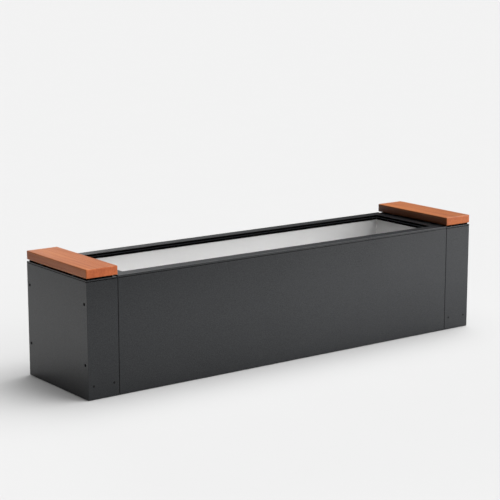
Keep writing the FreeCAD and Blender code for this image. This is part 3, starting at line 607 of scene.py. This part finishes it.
def under_board(sx, sy):
    """Path of a strip under one end of a board, set in from its long edges, with short returns."""
    path = [(sx * 0.774, sy * 0.165), (sx * 0.774, sy * 0.2020), (sx * 0.865, sy * 0.2020), (sx * 0.865, sy * 0.165)]
    return path[::-1] if sx * sy > 0 else path


# painted shadow: black strips in the joints under the lip and the caps, and in the gaps under the boards
joint_shadow_strip("rim_joint_shadow_strips", [[(-0.7512, -0.20242), (0.7512, -0.20242)], [(0.7512, 0.20242), (-0.7512, 0.20242)]],
            0.4066, 0.40902, 0.0014, "box_and_seats", 4.0)
joint_shadow_strip("cap_joint_shadow_strips", [round_leg(sx, 0.7546, 0.87492, 0.20242) for sx in (1, -1)], 0.4063, 0.40902, 0.0014, "box_and_seats", 6.0)
joint_shadow_strip("board_gap_shadow_strips", [under_board(sx, sy) for sx in (1, -1) for sy in (1, -1)], 0.41285, 0.4198, 0.0030, "box_and_seats", 8.0)

# ------------------------------------------------------------------ floor
FLOOR_TONE = 0.621
FLOOR_GLOW = 0.0


def make_floor():
    m, g, b, pos = material("studio_floor")
    speck = g.noise(pos, 3.0, 2.0, 0.5)
    g.link(g.mix(g.span(speck, 0.3, 0.7), (FLOOR_TONE * 0.998,) * 3, (FLOOR_TONE * 1.002,) * 3), b.inputs["Base Color"])
    b.inputs["Roughness"].default_value = 1.0
    b.inputs["Specular IOR Level"].default_value = 0.0
    b.inputs["Emission Color"].default_value = (1, 1, 1, 1)
    b.inputs["Emission Strength"].default_value = FLOOR_GLOW
    return m


bm = bmesh.new()
bmesh.ops.create_circle(bm, cap_ends=True, segments=96, radius=60.0)
mesh = bpy.data.meshes.new("studio_floor")
bm.to_mesh(mesh)
bm.free()
floor = bpy.data.objects.new("studio_floor", mesh)
scene.collection.objects.link(floor)
mesh.materials.append(make_floor())


# ------------------------------------------------------------------ light
def direction(azimuth, elevation):
    """Azimuth from -Y (the front) towards +X, elevation above the floor, in degrees."""
    a, e = math.radians(azimuth), math.radians(elevation)
    return (math.sin(a) * math.cos(e), -math.cos(a) * math.cos(e), math.sin(e))


# broad soft lights: azimuth, elevation, inner and outer half-angle, radiance
SOFT_LIGHTS = [
    (35, 26, 5, 22, 3.9),       # key, front right
    (62, 2, 2, 12, 14.8),       # low and far, front right
    (45, 60, 12, 40, 0.31),     # overhead, in three parts
    (90, 60, 12, 40, 5.05),
    (0, 90, 15, 45, 1.75),
    (150, 12, 3, 14, 0.43),     # behind
    (162, 12, 3, 14, 4.1),
]
# soft boxes standing at the front right: place, aim, size, watts
SOFT_BOXES = [
    ((2.4, -1.0, 0.9), (0.5, -0.2, 0.25), 0.8, 39.0),
    ((4.5, -4.2, 0.4), (0.3, 0.0, 0.2), 2.0, 58.0),
]
FILL = 0.0
BACKDROP = 0.887

world = bpy.data.worlds.new("studio")
scene.world = world
world.use_nodes = True
g = Graph(world.node_tree)
out = g.add("ShaderNodeOutputWorld")
ray = g.add("ShaderNodeTexCoord").outputs["Generated"]
ray = g.vmath("NORMALIZE", ray)
total = None
for az, el, inner, outer, power in SOFT_LIGHTS:
    d = g.vmath("DOT_PRODUCT", ray, direction(az, el))
    lobe = g.span(d, math.cos(math.radians(outer)), math.cos(math.radians(inner)), 0.0, power, smooth=True)
    total = lobe if total is None else g.math("ADD", total, lobe)
total = g.math("ADD", total, FILL)
soft = g.add("ShaderNodeBackground")
g.link(total, soft.inputs["Strength"])
plain = g.add("ShaderNodeBackground")
plain.inputs["Color"].default_value = (BACKDROP, BACKDROP, BACKDROP, 1)
pick = g.add("ShaderNodeMixShader")
g.link(g.add("ShaderNodeLightPath").outputs["Is Camera Ray"], pick.inputs[0])
g.link(soft.outputs[0], pick.inputs[1])
g.link(plain.outputs[0], pick.inputs[2])
g.link(pick.outputs[0], out.inputs["Surface"])

# the soft boxes light the object, not the floor
not_floor = bpy.data.collections.new("not_floor")
not_floor.objects.link(floor)
for entry in not_floor.collection_objects:
    entry.light_linking.link_state = "EXCLUDE"
for k, (place, aim, size, watts) in enumerate(SOFT_BOXES):
    data = bpy.data.lights.new("soft_box_%d" % k, "AREA")
    data.shape = "SQUARE"
    data.size = size
    data.energy = watts
    lamp = bpy.data.objects.new("soft_box_%d" % k, data)
    lamp.location = place
    lamp.rotation_euler = (Vector(aim) - Vector(place)).to_track_quat("-Z", "Y").to_euler()
    lamp.light_linking.receiver_collection = not_floor
    lamp.visible_camera = False
    scene.collection.objects.link(lamp)
